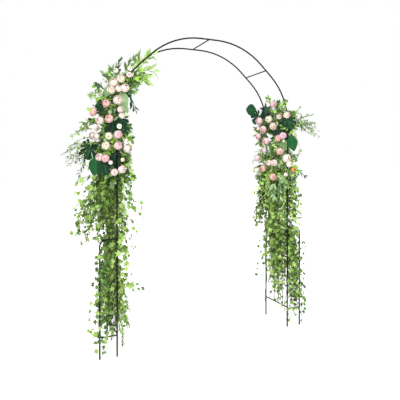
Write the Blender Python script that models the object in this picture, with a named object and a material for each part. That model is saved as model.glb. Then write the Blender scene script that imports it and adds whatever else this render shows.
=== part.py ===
"""A free-standing metal trellis arch: two bent tube hoops joined by crossbars, with a lattice panel in
each side, a low wing frame on each front leg, and garlands of flowers and ivy tied over both sides.

The hoops are push-fit kits. Each is two legs, two posts and four bent tubes, and the upper end of a
tube is swaged down to a spigot that slides into the next one. A screw through each overlap holds the
crossbar there and locks the joint.

Metres, +Z up, +X to the right seen from the front, and the front hoop at -Y. The origin is on the
ground in the middle of the arch.
"""

from math import atan2, cos, pi, radians, sin, sqrt, tan

import bmesh
import bpy
from mathutils import Vector

# Driving dimensions, between tube centrelines unless a comment says otherwise
HOOP_WIDTH = 1.48
DEPTH = 0.34
SPRING_HEIGHT = 1.695  # where the sides end and the curve begins
ARCH_RISE = 0.69  # crown above the spring line
LEG_TOP = 0.90  # joint between a leg and its post
WING_REACH = 0.126  # wing leg outside its hoop leg
WING_TOP = 0.855
WING_BOTTOM = 0.155  # what is below the bottom rails pushes into soft ground
LATTICE_TOP = 0.83
LATTICE_BOTTOM = 0.167  # just above the wing's rail, so that their coped ends miss each other
LATTICE_BARS = 4

# Tubes and rods
TUBE_RADIUS = 0.006
TUBE_WALL = 0.0008
RAIL_RADIUS = 0.005
BAR_RADIUS = 0.0025
GAP = 0.0003  # between pieces that touch
SPIGOT_LENGTH = 0.040
SHOULDER = 0.003  # length over which a tube narrows to its spigot
STRAIGHT_END = 0.060  # unbent length at each end of a bent tube
SEGMENT_ANGLE = radians(45)
SEGMENTS = 4
BEND_STEPS = 8
WING_BEND_RADIUS = 0.05
WING_BEND_STEPS = 5
SIDES = 12
BAR_SIDES = 8

# Screws through the push-fit joints, and the feet
CROSSBAR_PAST_JOINT = 0.020  # from where a tube ends to the crossbar over its spigot
SCREW_RADIUS = 0.0022
SCREW_HOLE_RADIUS = 0.0025
SCREW_REACH = 0.012  # how far a screw goes into its crossbar
SCREW_HOLE_DEPTH = 0.015
SCREW_HEAD_RADIUS = 0.0042
SCREW_HEAD_HEIGHT = 0.0024
CAP_FLANGE = 0.004
CAP_RADIUS = 0.0066
CAP_STEM = 0.015

# Garlands: sleeves round each side, open at both ends, with the outer shape of the planting
SLEEVE_WALL = 0.006
SLEEVE_SIDES = 16
SLEEVE_GAP = 0.006  # between a sleeve and the next one
SIDE_REACH = 1.06  # furthest point of either side from the middle
FRONT_REACH = 0.32

FRONT = -DEPTH / 2
REAR = DEPTH / 2
LEFT = -1
RIGHT = 1


def clear_scene():
    """Remove everything that a new file comes with."""
    for old in list(bpy.data.objects):
        bpy.data.objects.remove(old, do_unlink=True)


def material(name, colour, roughness, metallic):
    """A Principled material with one colour."""
    made = bpy.data.materials.new(name)
    made.use_nodes = True
    shader = made.node_tree.nodes["Principled BSDF"]
    shader.inputs["Base Color"].default_value = (*colour, 1.0)
    shader.inputs["Roughness"].default_value = roughness
    shader.inputs["Metallic"].default_value = metallic
    return made


def finish_object(name, mesh_bm, surface, smooth=True):
    """Turn a bmesh into an object in the scene."""
    bmesh.ops.recalc_face_normals(mesh_bm, faces=mesh_bm.faces)
    mesh = bpy.data.meshes.new(name)
    mesh_bm.to_mesh(mesh)
    mesh_bm.free()
    if smooth:
        mesh.shade_smooth()
        mesh.set_sharp_from_angle(angle=radians(40))
    mesh.materials.append(surface)
    made = bpy.data.objects.new(name, mesh)
    bpy.context.scene.collection.objects.link(made)
    return made


def join_rings(bm, rings, closed):
    """Faces between each ring of vertices and the next, and from the last to the first if closed."""
    pairs = list(zip(rings, rings[1:]))
    if closed:
        pairs.append((rings[-1], rings[0]))
    for one, two in pairs:
        count = len(one)
        for i in range(count):
            j = (i + 1) % count
            bm.faces.new((one[i], one[j], two[j], two[i]))


def ring_points(centre, across, up, radius_across, radius_up, sides):
    """Points round an ellipse whose axes are two unit vectors."""
    for i in range(sides):
        angle = 2 * pi * i / sides
        yield centre + across * (radius_across * cos(angle)) + up * (radius_up * sin(angle))


def tangents(points):
    """A direction at each point of a path, halfway between those of its two neighbours."""
    result = []
    for i in range(len(points)):
        before = points[max(i - 1, 0)]
        after = points[min(i + 1, len(points) - 1)]
        result.append((after - before).normalized())
    return result


def path_tube(name, stations, surface, sides=SIDES):
    """A hollow tube along a path in a plane of constant Y. A station is (point, outer, inner)."""
    depth_axis = Vector((0, 1, 0))
    points = [point for point, _, _ in stations]
    bm = bmesh.new()
    outside, inside = [], []
    for (point, outer, inner), along in zip(stations, tangents(points)):
        across = depth_axis.cross(along)
        for rings, radius in ((outside, outer), (inside, inner)):
            ring = ring_points(point, across, depth_axis, radius, radius, sides)
            rings.append([bm.verts.new(place) for place in ring])
    join_rings(bm, outside + inside[::-1], closed=True)
    return finish_object(name, bm, surface)


def swaged_end(joint, along):
    """The stations that narrow a tube to its spigot, which passes the joint along a direction."""
    spigot_outer = TUBE_RADIUS - TUBE_WALL - GAP
    spigot_inner = spigot_outer - TUBE_WALL
    bore = TUBE_RADIUS - TUBE_WALL
    return [
        (joint - along * SHOULDER, TUBE_RADIUS, bore),
        (joint, spigot_outer, spigot_inner),
        (joint + along * SPIGOT_LENGTH, spigot_outer, spigot_inner),
    ]


def plain_end(joint, along):
    """The station where a plain tube end begins, just past the joint."""
    return (joint + along * GAP, TUBE_RADIUS, TUBE_RADIUS - TUBE_WALL)


def straight_tube(name, low, high, surface):
    """A vertical tube with a plain lower end and a spigot above its upper joint."""
    along = (high - low).normalized()
    return path_tube(name, [plain_end(low, along)] + swaged_end(high, along), surface)


def saddle(offset, main_radius):
    """How far from a main tube's axis a bar's end stops at a sideways offset, so it cups the tube."""
    reach = main_radius + GAP
    return sqrt(max(reach * reach - offset * offset, 0.0))


def coped_bar(name, start, end, across, radius, main_radius, surface, bore=0.0, blind=0.0, sides=SIDES):
    """A bar between two main tubes whose axes pass through start and end. Its ends cup the tubes.

    across is the sideways direction, at right angles to the bar and to the main tubes. With a bore
    and no blind depth the bar is a tube, with a blind depth each end has a drilled hole that deep,
    and without a bore it is a plain rod.
    """
    along = (end - start).normalized()
    up = along.cross(across)
    bm = bmesh.new()

    def ring(origin, direction, size, depth=0.0):
        made = []
        for place in ring_points(Vector(), across, up, size, size, sides):
            away = saddle(place.dot(across), main_radius) if depth == 0.0 else main_radius + depth
            made.append(bm.verts.new(origin + place + direction * away))
        return made

    outside = [ring(start, along, radius), ring(end, -along, radius)]
    if bore and not blind:
        inside = [ring(start, along, bore), ring(end, -along, bore)]
        join_rings(bm, outside + inside[::-1], closed=True)
        return finish_object(name, bm, surface)
    join_rings(bm, outside, closed=False)
    for outer, origin, direction in ((outside[0], start, along), (outside[1], end, -along)):
        if blind:
            mouth = ring(origin, direction, bore)
            floor = ring(origin, direction, bore, depth=blind)
            join_rings(bm, [outer, mouth, floor], closed=False)
            bm.faces.new(floor)
        else:
            bm.faces.new(outer)
    return finish_object(name, bm, surface)


def turned(name, centre, axis, across, profile, surface, sides=SIDES):
    """A solid turned round an axis. A profile point is (distance along the axis, radius)."""
    up = axis.cross(across)
    bm = bmesh.new()
    rings = []
    for distance, radius in profile:
        ring = ring_points(centre + axis * distance, across, up, radius, radius, sides)
        rings.append([bm.verts.new(place) for place in ring])
    join_rings(bm, rings, closed=False)
    bm.faces.new(rings[0])
    bm.faces.new(rings[-1])
    return finish_object(name, bm, surface)


def hoop_place(steps, y, stretch=1.0):
    """A point on the hoop's outline, in segments of 45 degrees from the right spring point."""
    angle = steps * SEGMENT_ANGLE
    half = HOOP_WIDTH / 2 * stretch
    return Vector((half * cos(angle), y, SPRING_HEIGHT + ARCH_RISE * stretch * sin(angle)))


def hoop_corner(segment, y):
    """Where the straight ends of a segment's tube would meet if it were not bent."""
    return hoop_place(segment + 0.5, y, stretch=1 / cos(SEGMENT_ANGLE / 2))


def bend(start, corner, end, tangent, steps):
    """Points round the bend of a tube from start to end through a rounded corner."""
    before = (corner - start).normalized()
    after = (end - corner).normalized()
    turn = before.angle(after)
    radius = tangent / tan(turn / 2)
    inward = (after - before).normalized()
    centre = corner + inward * (radius / cos(turn / 2))
    first = corner - before * tangent - centre
    axis = before.cross(after).normalized()
    side = axis.cross(first)
    return [centre + first * cos(turn * i / steps) + side * sin(turn * i / steps) for i in range(steps + 1)]


def arch_tube(name, first_joint, last_joint, y, surface):
    """A bent tube between two crossbars of the hoop, numbered in segments. It starts plain, a little
    before its first crossbar, and has its spigot under the last one. The last tube of the right side
    is plain at both ends, because at the crown it takes the spigot from the left side."""
    segment = min(first_joint, last_joint)
    start, end = hoop_place(first_joint, y), hoop_place(last_joint, y)
    corner = hoop_corner(segment, y)
    tangent = min((corner - start).length, (end - corner).length) - STRAIGHT_END
    along_start = (corner - start).normalized()
    along_end = (end - corner).normalized()
    bore = TUBE_RADIUS - TUBE_WALL
    stations = [plain_end(start - along_start * CROSSBAR_PAST_JOINT, along_start)]
    stations += [(p, TUBE_RADIUS, bore) for p in bend(start, corner, end, tangent, BEND_STEPS)]
    if last_joint == SEGMENTS / 2 and first_joint < last_joint:
        stations.append(plain_end(end + along_end * CROSSBAR_PAST_JOINT, -along_end))
    else:
        stations += swaged_end(end - along_end * CROSSBAR_PAST_JOINT, along_end)
    return path_tube(name, stations, surface)


def drill(target, centre):
    """Drill a screw hole through a tube, front to back."""
    cutter = turned(
        f"{target.name}_drill",
        centre,
        Vector((0, 1, 0)),
        Vector((1, 0, 0)),
        [(-3 * TUBE_RADIUS, SCREW_HOLE_RADIUS), (3 * TUBE_RADIUS, SCREW_HOLE_RADIUS)],
        target.data.materials[0],
    )
    cutter.hide_render = True
    cutter.display_type = "WIRE"
    cut = target.modifiers.new("screw_hole", "BOOLEAN")
    cut.operation = "DIFFERENCE"
    cut.solver = "EXACT"
    cut.object = cutter


def crossbar_places():
    """Each crossbar's name, its place on the hoop in segments, and the hoop's direction there."""
    for side, word in ((LEFT, "left"), (RIGHT, "right")):
        spring = 0 if side == RIGHT else SEGMENTS
        upper = 1 if side == RIGHT else SEGMENTS - 1
        segment = 1 if side == RIGHT else 2
        yield f"{word}_spring", spring, Vector((0, 0, 1))
        yield f"{word}_upper", upper, (hoop_corner(segment, 0) - hoop_place(upper, 0)).normalized()
    yield "crown", SEGMENTS // 2, Vector((1, 0, 0))


def make_hoop(word, y, paint):
    """One hoop's legs, posts and four bent tubes. Returns its tubes by name."""
    tubes = {}
    for side, hand in ((LEFT, "left"), (RIGHT, "right")):
        x = side * HOOP_WIDTH / 2
        foot = Vector((x, y, CAP_FLANGE))
        middle = Vector((x, y, LEG_TOP))
        post_end = Vector((x, y, SPRING_HEIGHT - CROSSBAR_PAST_JOINT))
        tubes[f"{hand}_leg"] = straight_tube(f"{word}_{hand}_leg", foot, middle, paint)
        tubes[f"{hand}_post"] = straight_tube(f"{word}_{hand}_post", middle, post_end, paint)
        joints = (0, 1, 2) if side == RIGHT else (SEGMENTS, SEGMENTS - 1, SEGMENTS - 2)
        for part, first, last in (("lower", joints[0], joints[1]), ("upper", joints[1], joints[2])):
            name = f"{word}_{hand}_{part}_arch"
            tubes[f"{hand}_{part}"] = arch_tube(name, first, last, y, paint)
    return tubes


def joint_tubes(place, tubes):
    """The two tubes that overlap under a crossbar."""
    if place == "crown":
        return tubes["left_upper"], tubes["right_upper"]
    hand, level = place.split("_")
    if level == "spring":
        return tubes[f"{hand}_post"], tubes[f"{hand}_lower"]
    return tubes[f"{hand}_lower"], tubes[f"{hand}_upper"]


def make_crossbars(hoops, paint, zinc):
    """The rungs between the hoops, with a screw from outside at each end."""
    for place, joint, along in crossbar_places():
        front, rear = hoop_place(joint, FRONT), hoop_place(joint, REAR)
        across = along.cross(Vector((0, 1, 0)))
        coped_bar(
            f"{place}_crossbar",
            front,
            rear,
            across,
            RAIL_RADIUS,
            TUBE_RADIUS,
            paint,
            bore=SCREW_HOLE_RADIUS,
            blind=SCREW_HOLE_DEPTH,
        )
        for word, centre, inward in (("front", front, 1), ("rear", rear, -1)):
            for tube in joint_tubes(place, hoops[word]):
                drill(tube, centre)
            make_screw(f"{place}_screw_{word}", centre, Vector((0, inward, 0)), zinc)


def make_screw(name, centre, inward, zinc):
    """A pan-head screw whose head bears on the outside of a hoop."""
    seat = -TUBE_RADIUS - GAP
    profile = [
        (seat - SCREW_HEAD_HEIGHT, SCREW_HEAD_RADIUS * 0.6),
        (seat - SCREW_HEAD_HEIGHT * 0.6, SCREW_HEAD_RADIUS),
        (seat, SCREW_HEAD_RADIUS),
        (seat, SCREW_RADIUS),
        (TUBE_RADIUS + SCREW_REACH, SCREW_RADIUS),
    ]
    turned(name, centre, inward, Vector((1, 0, 0)), profile, zinc)


def make_lattice(side, hand, paint):
    """The ladder-like panel between the front and rear legs of one side."""
    x = side * HOOP_WIDTH / 2
    across = Vector((1, 0, 0))
    bore = RAIL_RADIUS - TUBE_WALL
    for word, z in (("top", LATTICE_TOP), ("bottom", LATTICE_BOTTOM)):
        start, end = Vector((x, FRONT, z)), Vector((x, REAR, z))
        name = f"{hand}_lattice_{word}_rail"
        coped_bar(name, start, end, across, RAIL_RADIUS, TUBE_RADIUS, paint, bore=bore)
    for number in range(1, LATTICE_BARS + 1):
        y = FRONT + DEPTH * number / (LATTICE_BARS + 1)
        start, end = Vector((x, y, LATTICE_BOTTOM)), Vector((x, y, LATTICE_TOP))
        name = f"{hand}_lattice_bar_{number}"
        coped_bar(name, start, end, across, BAR_RADIUS, RAIL_RADIUS, paint, sides=BAR_SIDES)


def make_wing(side, hand, paint):
    """A tube that rises outside the front leg, bends over and runs in to it, with a low rail."""
    inner_x = side * HOOP_WIDTH / 2
    outer_x = side * (HOOP_WIDTH / 2 + WING_REACH)
    foot = Vector((outer_x, FRONT, CAP_FLANGE))
    corner = Vector((outer_x, FRONT, WING_TOP))
    inner = Vector((inner_x, FRONT, WING_TOP))
    bore = TUBE_RADIUS - TUBE_WALL
    inward = Vector((-side, 0, 0))
    stations = [plain_end(foot, Vector((0, 0, 1)))]
    bent = bend(foot, corner, inner, WING_BEND_RADIUS, WING_BEND_STEPS)
    stations += [(point, TUBE_RADIUS, bore) for point in bent]
    stations.append((inner - inward * (TUBE_RADIUS + GAP), TUBE_RADIUS, bore))
    path_tube(f"{hand}_wing_frame", stations, paint)
    low_outer = Vector((outer_x, FRONT, WING_BOTTOM))
    low_inner = Vector((inner_x, FRONT, WING_BOTTOM))
    name = f"{hand}_wing_bottom_rail"
    across = Vector((0, 1, 0))
    coped_bar(
        name, low_inner, low_outer, across, RAIL_RADIUS, TUBE_RADIUS, paint, bore=RAIL_RADIUS - TUBE_WALL
    )


def make_foot_cap(name, x, y, plastic):
    """A plug pressed into the bottom of a leg, with a flat foot."""
    stem = TUBE_RADIUS - TUBE_WALL - GAP
    profile = [
        (0.0, CAP_RADIUS),
        (CAP_FLANGE, CAP_RADIUS),
        (CAP_FLANGE, stem),
        (CAP_FLANGE + CAP_STEM, stem),
    ]
    turned(name, Vector((x, y, 0)), Vector((0, 0, 1)), Vector((1, 0, 0)), profile, plastic)


def make_sleeve(name, stations, surface):
    """A garland sleeve. A station is (centre x, centre z, half width, half depth, lean)."""
    bm = bmesh.new()
    outside, inside = [], []
    for x, z, half_width, half_depth, lean in stations:
        across = Vector((cos(lean), 0, sin(lean)))
        for rings, inset in ((outside, 0.0), (inside, SLEEVE_WALL)):
            ring = ring_points(
                Vector((x, 0, z)),
                across,
                Vector((0, 1, 0)),
                half_width - inset,
                half_depth - inset,
                SLEEVE_SIDES,
            )
            rings.append([bm.verts.new(place) for place in ring])
    join_rings(bm, outside + inside[::-1], closed=True)
    finish_object(name, bm, surface)


def hoop_station(side, steps, outward, half_width, half_depth):
    """A sleeve station square to the hoop, counted in 45-degree segments up from the spring point."""
    joint = steps if side == RIGHT else SEGMENTS - steps
    place = hoop_place(joint, 0)
    away = Vector((place.x, 0, place.z - SPRING_HEIGHT)).normalized()
    lean = atan2(away.z, away.x)
    centre = place + away * outward
    return (centre.x, centre.z, half_width, half_depth, lean)


def side_station(side, outward, z, half_width, half_depth):
    """A level sleeve station round one side's posts or legs."""
    lean = 0.0 if side == RIGHT else pi
    return (side * (HOOP_WIDTH / 2 + outward), z, half_width, half_depth, lean)


def widest_station(side, z):
    """The level station that sets how far the planting reaches."""
    inner_face = HOOP_WIDTH / 2 - 0.15
    half_width = (SIDE_REACH - inner_face) / 2
    return (side * (SIDE_REACH - half_width), z, half_width, FRONT_REACH, 0.0 if side == RIGHT else pi)


def make_garlands(bloom, leaf):
    """The flower swag and the two lengths of ivy on each side. The left swag climbs higher."""
    make_sleeve(
        "left_flower_swag",
        [
            hoop_station(LEFT, 1.12, 0.02, 0.10, 0.26),
            hoop_station(LEFT, 0.60, 0.02, 0.16, 0.29),
            widest_station(LEFT, 1.66),
            side_station(LEFT, 0.03, 1.30, 0.20, 0.29),
        ],
        bloom,
    )
    make_sleeve(
        "right_flower_swag",
        [
            hoop_station(RIGHT, 0.42, 0.02, 0.12, 0.27),
            widest_station(RIGHT, 1.66),
            side_station(RIGHT, 0.02, 1.30, 0.18, 0.28),
        ],
        bloom,
    )
    for side, hand in ((LEFT, "left"), (RIGHT, "right")):
        upper_top = 1.30 - SLEEVE_GAP
        upper_bottom = 0.86
        make_sleeve(
            f"{hand}_upper_ivy",
            [
                side_station(side, 0.02, upper_top, 0.17, 0.27),
                side_station(side, 0.03, 1.08, 0.21, 0.28),
                side_station(side, 0.05, upper_bottom, 0.16, 0.27),
            ],
            leaf,
        )
        make_sleeve(
            f"{hand}_lower_ivy",
            [
                side_station(side, 0.05, upper_bottom - SLEEVE_GAP, 0.15, 0.26),
                side_station(side, 0.06, 0.45, 0.16, 0.27),
                side_station(side, 0.05, 0.07, 0.13, 0.25),
            ],
            leaf,
        )


def main():
    clear_scene()
    paint = material("black_powder_coat", (0.035, 0.036, 0.040), 0.42, 0.0)
    zinc = material("black_zinc", (0.05, 0.05, 0.055), 0.35, 1.0)
    plastic = material("black_plastic", (0.03, 0.03, 0.032), 0.55, 0.0)
    bloom = material("rose_pink", (0.83, 0.58, 0.52), 0.7, 0.0)
    leaf = material("leaf_green", (0.22, 0.42, 0.08), 0.6, 0.0)
    hoops = {"front": make_hoop("front", FRONT, paint), "rear": make_hoop("rear", REAR, paint)}
    make_crossbars(hoops, paint, zinc)
    for side, hand in ((LEFT, "left"), (RIGHT, "right")):
        make_lattice(side, hand, paint)
        make_wing(side, hand, paint)
        leg_x = side * HOOP_WIDTH / 2
        make_foot_cap(f"front_{hand}_foot_cap", leg_x, FRONT, plastic)
        make_foot_cap(f"rear_{hand}_foot_cap", leg_x, REAR, plastic)
        make_foot_cap(f"{hand}_wing_foot_cap", leg_x + side * WING_REACH, FRONT, plastic)
    make_garlands(bloom, leaf)


main()
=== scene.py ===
"""The looks of a metal trellis arch: powder-coated tubes, and on each side a garland of roses and
mixed leaves with ivy trailing below it.

Everything that grows is made here from a few leaf and petal shapes. A garland has main vines that
wind up the posts, shoots that leave the vines, and leaves or blooms on the shoots. Places on a
garland are given as a height along its post and hoop, and a turn round it in degrees: 0 faces the
walkway, 90 the front, 180 away from the walkway and 270 the rear.
"""

import random
from math import cos, pi, radians, sin, sqrt

import bpy
import numpy as np
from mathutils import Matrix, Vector


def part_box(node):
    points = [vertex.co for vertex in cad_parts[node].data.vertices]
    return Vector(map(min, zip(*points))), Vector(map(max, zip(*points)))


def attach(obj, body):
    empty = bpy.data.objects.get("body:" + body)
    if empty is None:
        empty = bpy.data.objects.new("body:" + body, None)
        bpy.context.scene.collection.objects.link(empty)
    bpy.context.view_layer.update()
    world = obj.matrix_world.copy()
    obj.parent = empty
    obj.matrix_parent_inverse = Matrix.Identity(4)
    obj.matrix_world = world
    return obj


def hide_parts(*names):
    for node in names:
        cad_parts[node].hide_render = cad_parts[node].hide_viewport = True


LEFT = -1
RIGHT = 1
DOWN = np.array((0.0, 0.0, -1.0))
FORWARD = np.array((0.0, -1.0, 0.0))
STAND = np.array((-1.4879, -3.3635, 1.3975))  # the camera's place, where the arch is seen from

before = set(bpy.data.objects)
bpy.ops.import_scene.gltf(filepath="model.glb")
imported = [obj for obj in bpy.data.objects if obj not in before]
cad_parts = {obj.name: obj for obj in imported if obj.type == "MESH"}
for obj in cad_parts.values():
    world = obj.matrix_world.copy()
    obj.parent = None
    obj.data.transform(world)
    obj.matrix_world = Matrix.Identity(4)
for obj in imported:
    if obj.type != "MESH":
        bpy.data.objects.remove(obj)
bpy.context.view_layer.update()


def new_object(name, data):
    made = bpy.data.objects.new(name, data)
    bpy.context.scene.collection.objects.link(made)
    return made


def middle(node):
    """The centre of a CAD node's box."""
    low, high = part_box(node)
    return (low + high) / 2


POST_X = middle("front_right_post").x
FRONT_Y = middle("front_right_post").y
SPRING_Z = middle("right_spring_crossbar").z
ARCH_RISE = middle("crown_crossbar").z - SPRING_Z
WING_X = middle("right_wing_foot_cap").x
WING_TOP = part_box("right_wing_frame")[1].z


# ---- places on a garland

QUARTER = np.linspace(0, pi / 2, 400)
OUTLINE = np.c_[POST_X * np.cos(QUARTER), ARCH_RISE * np.sin(QUARTER)]
OUTLINE_LENGTH = np.r_[0, np.cumsum(np.hypot(*np.diff(OUTLINE, axis=0).T))]


def unit(vector):
    return vector / np.sqrt((vector * vector).sum())


def spine(side, height):
    """The garland's middle line at a height along the post and hoop, and its outward direction."""
    if height <= SPRING_Z:
        return np.array((side * POST_X, 0.0, height)), np.array((float(side), 0.0, 0.0))
    angle = np.interp(height - SPRING_Z, OUTLINE_LENGTH, QUARTER)
    place = np.array((side * POST_X * cos(angle), 0.0, SPRING_Z + ARCH_RISE * sin(angle)))
    outward = unit(np.array((side * cos(angle) / POST_X, 0.0, sin(angle) / ARCH_RISE)))
    return place, outward


def facing(side, height, turn):
    """The direction away from the garland at a height and turn."""
    _, outward = spine(side, height)
    return -outward * cos(radians(turn)) + FORWARD * sin(radians(turn))


def on_garland(side, height, turn, wide, deep):
    """A point round the garland, on an ellipse with the given half width and half depth."""
    place, outward = spine(side, height)
    return place - outward * (wide * cos(radians(turn))) + FORWARD * (deep * sin(radians(turn)))


# ---- leaf shapes
# A shape lies in the XY plane with its base at the origin and its tip at (0, 1, 0). It is a list of
# points, a list of faces and each point's place on the leaf: across from -1 to 1, along from 0 to 1.


def grid_faces(rows, columns):
    """Four-sided faces over rows and columns of cells, whose points are listed row by row."""
    wide = columns + 1
    corners = [row * wide + column for row in range(rows) for column in range(columns)]
    return [(a, a + 1, a + wide + 1, a + wide) for a in corners]


def cup(points, fold, droop):
    """Fold a flat leaf along its midrib and let its tip and sides hang."""
    shaped = np.array(points, float)
    x, y = shaped[:, 0], shaped[:, 1]
    shaped[:, 2] += fold * np.abs(x) - droop * y * y - 0.35 * droop * x * x
    return shaped


def radial_shape(half_outline, centre, fold, droop):
    """A leaf from an outline of (degrees from the tip, distance from its centre), mirrored."""
    left = [(-angle, reach) for angle, reach in half_outline[::-1] if 0 < angle < 180]
    outline = [*half_outline, *left]
    points = [(0.0, centre, 0.0)]
    for part in (0.55, 1.0):
        for angle, reach in outline:
            a = radians(angle)
            points.append((part * reach * sin(a), centre + part * reach * cos(a), 0.0))
    count = len(outline)
    faces = []
    for i in range(count):
        j = (i + 1) % count
        faces.append((0, 1 + j, 1 + i))
        faces.append((1 + i, 1 + j, 1 + count + j, 1 + count + i))
    place = [(x / 0.6, y) for x, y, _ in points]
    return cup(points, fold, droop), faces, np.array(place)


def long_shape(width, widest, rows, fold, droop, serration=0.0):
    """An undivided leaf, from the half width at its widest and how far along that is."""
    points, place = [], []
    for row in range(rows + 1):
        v = row / rows
        bulge = v / widest if v < widest else (1 - v) / (1 - widest)
        half = width * sin(pi / 2 * bulge) ** 0.8 + 0.004
        half *= 1 + serration * (1 if row % 2 else -1)
        for u in (-1, -0.5, 0, 0.5, 1):
            points.append((u * half, v, 0.0))
            place.append((u, v))
    return cup(points, fold, droop), grid_faces(rows, 4), np.array(place)


def slit_shape(fold, droop):
    """A heart-shaped leaf whose margin is cut by slits between its side veins."""
    edges = (-156, -124, -92, -60, -28, 28, 60, 92, 124, 156)
    slit = 4.0
    rings = (0.28, 0.55, 0.8, 1.0)
    base = 0.2
    points, faces, place = [(0.0, base, 0.0)], [], [(0.0, base)]
    for low, high in zip(edges, edges[1:]):
        start = len(points)
        for ring in rings:
            narrow = slit * max(0.0, ring - 0.4) / 0.6
            for step in range(5):
                angle = radians(low + narrow + (high - low - 2 * narrow) * step / 4)
                round_tip = 1 - 0.1 * ring * abs(step / 2 - 1) ** 2
                reach = ring * round_tip * (0.44 + 0.36 * cos(angle / 2) ** 4)
                x, y = reach * sin(angle), base + reach * cos(angle)
                points.append((x, y, 0.012 * ring * (1 - abs(step / 2 - 1))))
                place.append((x / 0.5, y))
        for step in range(4):
            faces.append((0, start + step + 1, start + step))
            for ring in range(len(rings) - 1):
                a = start + 5 * ring + step
                faces.append((a, a + 1, a + 6, a + 5))
    return cup(points, fold, droop), faces, np.array(place)


IVY_OUTLINE = ((0, 0.62), (28, 0.25), (58, 0.55), (88, 0.26), (122, 0.46), (152, 0.34), (180, 0.28))
ROUND_OUTLINE = ((0, 0.52), (30, 0.5), (60, 0.48), (90, 0.46), (120, 0.46), (150, 0.47), (180, 0.46))
SHAPES = {
    "ivy": [
        radial_shape(IVY_OUTLINE, 0.36, 0.16, 0.3),
        radial_shape(IVY_OUTLINE, 0.36, 0.3, 0.1),
        radial_shape(IVY_OUTLINE, 0.36, -0.12, 0.38),
    ],
    "round": [
        radial_shape(ROUND_OUTLINE, 0.47, 0.1, 0.2),
        radial_shape(ROUND_OUTLINE, 0.47, 0.26, 0.05),
    ],
    "rose_leaf": [
        long_shape(0.32, 0.42, 8, 0.22, 0.2, 0.05),
        long_shape(0.34, 0.45, 8, 0.1, 0.36, 0.05),
    ],
    "big_leaf": [long_shape(0.32, 0.42, 18, 0.22, 0.2), long_shape(0.31, 0.45, 18, 0.16, 0.32)],
    "big_round": [long_shape(0.45, 0.46, 18, 0.12, 0.2)],
    "willow": [long_shape(0.17, 0.4, 7, 0.3, 0.28), long_shape(0.15, 0.45, 7, 0.3, -0.1)],
    "blade": [long_shape(0.16, 0.5, 4, 0.3, 0.2), long_shape(0.13, 0.45, 4, 0.3, 0.5)],
    "oval": [long_shape(0.27, 0.5, 4, 0.15, 0.15), long_shape(0.3, 0.45, 4, 0.3, 0.3)],
    "slit": [slit_shape(0.1, 0.16), slit_shape(0.18, 0.26)],
}


# ---- growing meshes


class Growth:
    """One mesh that leaves, stems or petals are added to."""

    def __init__(self):
        self.points, self.faces, self.place, self.shade, self.tint = [], [], [], [], []
        self.count = 0

    def add(self, points, faces, place, shade, tint=None):
        """Add a shape: shade is a number for the whole of it, tint a colour at each point."""
        offset = self.count
        self.points.append(points)
        self.place.append(place)
        self.shade.append(np.full(len(points), shade))
        self.tint.append(np.ones((len(points), 3)) if tint is None else tint)
        self.faces.extend([tuple(i + offset for i in face) for face in faces])
        self.count += len(points)

    def leaf(self, kind, base, along, normal, size, shade, rng):
        """Add a leaf of a kind at its base, pointing along a direction with its face to normal."""
        shape, faces, place = rng.choice(SHAPES[kind])
        along = unit(along)
        across = unit(np.cross(along, normal))
        up = np.cross(across, along)
        points = base + size * (shape[:, :1] * across + shape[:, 1:2] * along + shape[:, 2:] * up)
        self.add(points, faces, place, shade)

    def stem(self, path, thick, thin, shade, sides):
        """Add a round stem along a path, from one radius to another."""
        path = np.array(path)
        along = np.gradient(path, axis=0)
        along /= np.sqrt((along * along).sum(axis=1, keepdims=True))
        helper = np.array((0.31, 0.62, 0.72))
        across = np.cross(along, helper)
        across /= np.sqrt((across * across).sum(axis=1, keepdims=True))
        up = np.cross(along, across)
        radius = np.linspace(thick, thin, len(path))[:, None]
        rings = [
            path + radius * (cos(2 * pi * k / sides) * across + sin(2 * pi * k / sides) * up)
            for k in range(sides)
        ]
        points = np.stack(rings, axis=1).reshape(-1, 3)
        faces = [tuple(range(sides))[::-1], tuple(range(len(points) - sides, len(points)))]
        for ring in range(len(path) - 1):
            for k in range(sides):
                a, b = ring * sides + k, ring * sides + (k + 1) % sides
                faces.append((a, b, b + sides, a + sides))
        place = np.repeat(np.linspace(0, 1, len(path)), sides)
        self.add(points, faces, np.c_[np.zeros(len(points)), place], shade)

    def build(self, name, surface, slot, *nodes):
        """Make the object, let it ride on the root body and hide the CAD nodes it stands for. The
        slot is not used.
        """
        mesh = bpy.data.meshes.new(name)
        mesh.from_pydata(np.concatenate(self.points).tolist(), [], self.faces)
        corners = np.empty(len(mesh.loops), np.int32)
        mesh.loops.foreach_get("vertex_index", corners)
        mesh.uv_layers.new(name="leaf")
        mesh.uv_layers["leaf"].data.foreach_set("uv", np.concatenate(self.place)[corners].ravel())
        shade = mesh.attributes.new("shade", "FLOAT", "POINT")
        shade.data.foreach_set("value", np.concatenate(self.shade))
        tint = mesh.attributes.new("tint", "FLOAT_COLOR", "POINT")
        colours = np.concatenate(self.tint)
        tint.data.foreach_set("color", np.c_[colours, np.ones(len(colours))].ravel())
        mesh.shade_smooth()
        mesh.materials.append(surface)
        made = new_object(name, mesh)
        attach(made, "root")
        if nodes:
            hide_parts(*nodes)


# ---- materials


def new_material(name):
    """A material with its node tree and its shader."""
    made = bpy.data.materials.new(name)
    made.use_nodes = True
    return made, made.node_tree, made.node_tree.nodes["Principled BSDF"]


def feed(tree, socket, value):
    """Give a socket a number, a colour, or what another node puts out."""
    if isinstance(value, bpy.types.NodeSocket):
        tree.links.new(value, socket)
    elif isinstance(value, tuple):
        socket.default_value = (*value, 1.0)
    else:
        socket.default_value = value


def add_node(tree, kind, sockets):
    """Add a shader node of a kind, and feed its sockets by name."""
    node = tree.nodes.new(f"ShaderNode{kind}")
    for name, value in sockets.items():
        feed(tree, node.inputs[name], value)
    return node


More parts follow.
